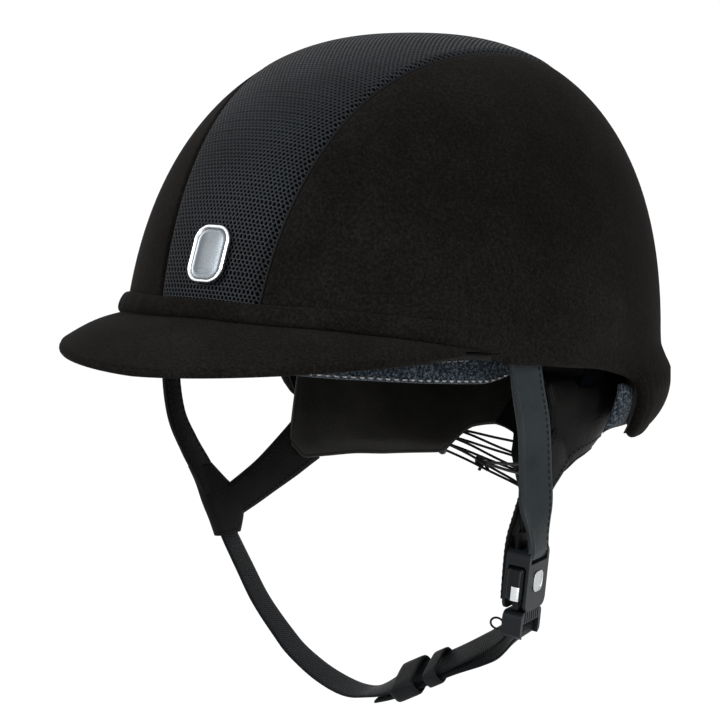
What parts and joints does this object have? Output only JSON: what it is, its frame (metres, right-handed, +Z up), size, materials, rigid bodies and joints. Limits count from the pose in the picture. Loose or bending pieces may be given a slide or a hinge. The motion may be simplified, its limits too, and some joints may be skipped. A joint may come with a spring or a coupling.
{
  "type": "equestrian riding helmet",
  "caption": "Riding helmet with a rounded shell, central mesh panel, short peak and leather four-point harness with a side-release chin buckle.",
  "frame": {"origin": "centre of the head opening, level with the shell's widest section", "axes": "+Z up through the crown, -Y towards the peak, +X to the wearer's left, the buckle side"},
  "size_m": [0.2162, 0.3012, 0.2926],
  "materials": {
    "outer_shell": "injection-moulded ABS, fine matt texture",
    "foam_liner": "moulded EPS foam, black, beaded surface",
    "suede": "black microsuede with a fine nap",
    "mesh": "dark blue-grey spacer mesh with small hexagonal holes",
    "seam": "folded seam with twin stitching",
    "peak_core": "flexible board",
    "lining": "woven lining",
    "badge_metal": "polished and brushed metal",
    "pad_fabric": "speckled technical fleece over foam",
    "rivet": "satin metal",
    "leather": "smooth black leather with stitched edges",
    "nape_leather": "soft padded black leather",
    "eyelet": "black enamelled metal",
    "lace": "braided round lace",
    "webbing": "woven nylon webbing with a slight shine",
    "buckle_nylon": "moulded nylon, satin",
    "emblem_metal": "brushed metal"
  },
  "bodies": {
    "helmet": {"outer_shell": "outer_shell", "foam_liner": "foam_liner", "cover_left": "suede", "cover_right": "suede", "mesh_panel": "mesh", "seam_left": "seam", "seam_right": "seam", "brow_band": "suede", "rim_binding": "seam", "peak_board": "peak_core", "peak_cover": "suede", "peak_lining": "lining", "peak_piping": "suede", "badge_plate": "badge_metal", "badge_posts": "rivet", "headband_pad": "pad_fabric", "crown_pad": "pad_fabric", "rear_pad_left": "pad_fabric", "rear_pad_right": "pad_fabric", "strap_anchors": "rivet", "front_strap_left": "leather", "front_strap_right": "leather", "rear_strap_left": "leather", "rear_strap_right": "leather", "nape_panel_left": "nape_leather", "nape_panel_right": "nape_leather", "rear_hanger_left": "webbing", "rear_hanger_right": "webbing", "junction_left": "nape_leather", "junction_right": "nape_leather", "nape_eyelets": "eyelet", "nape_lace": "lace", "lace_knot": "lace", "buckle_flap": "leather", "buckle_loop": "webbing", "buckle_housing": "buckle_nylon", "buckle_emblem": "emblem_metal"},
    "chin_strap": {"chin_webbing": "webbing", "buckle_frame": "buckle_nylon"},
    "front_arm": {"latch_arm_front": "buckle_nylon"},
    "rear_arm": {"latch_arm_rear": "buckle_nylon"},
    "slider": {"strap_slider": "buckle_nylon"},
    "keeper": {"strap_keeper": "lining"}
  },
  "joints": [
    {"name": "chin_strap_swing", "type": "hinge", "parent": "helmet", "child": "chin_strap", "pos_m": [-0.0866, -0.014, -0.0726], "axis": [-0.2676, 0.9635, 0], "range_deg": [0, 80]},
    {"name": "front_arm_squeeze", "type": "hinge", "parent": "chin_strap", "child": "front_arm", "pos_m": [0.08595, -0.02201, -0.0882], "axis": [0.9671, 0.225, -0.1187], "range_deg": [-6, 0], "stiffness_Nm_per_rad": 0.4},
    {"name": "rear_arm_squeeze", "type": "hinge", "parent": "chin_strap", "child": "rear_arm", "pos_m": [0.08274, -0.00799, -0.0878], "axis": [0.9671, 0.225, -0.1187], "range_deg": [0, 6], "stiffness_Nm_per_rad": 0.4},
    {"name": "slider_travel", "type": "slide", "parent": "chin_strap", "child": "slider", "axis": [0.9012, 0, 0.4334], "range_m": [-0.008, 0.005]},
    {"name": "keeper_travel", "type": "slide", "parent": "chin_strap", "child": "keeper", "axis": [0.9012, 0, 0.4334], "range_m": [0, 0.005]}
  ],
  "couplings": [
    {"joint": "rear_arm_squeeze", "follows": "front_arm_squeeze", "ratio": -1}
  ]
}
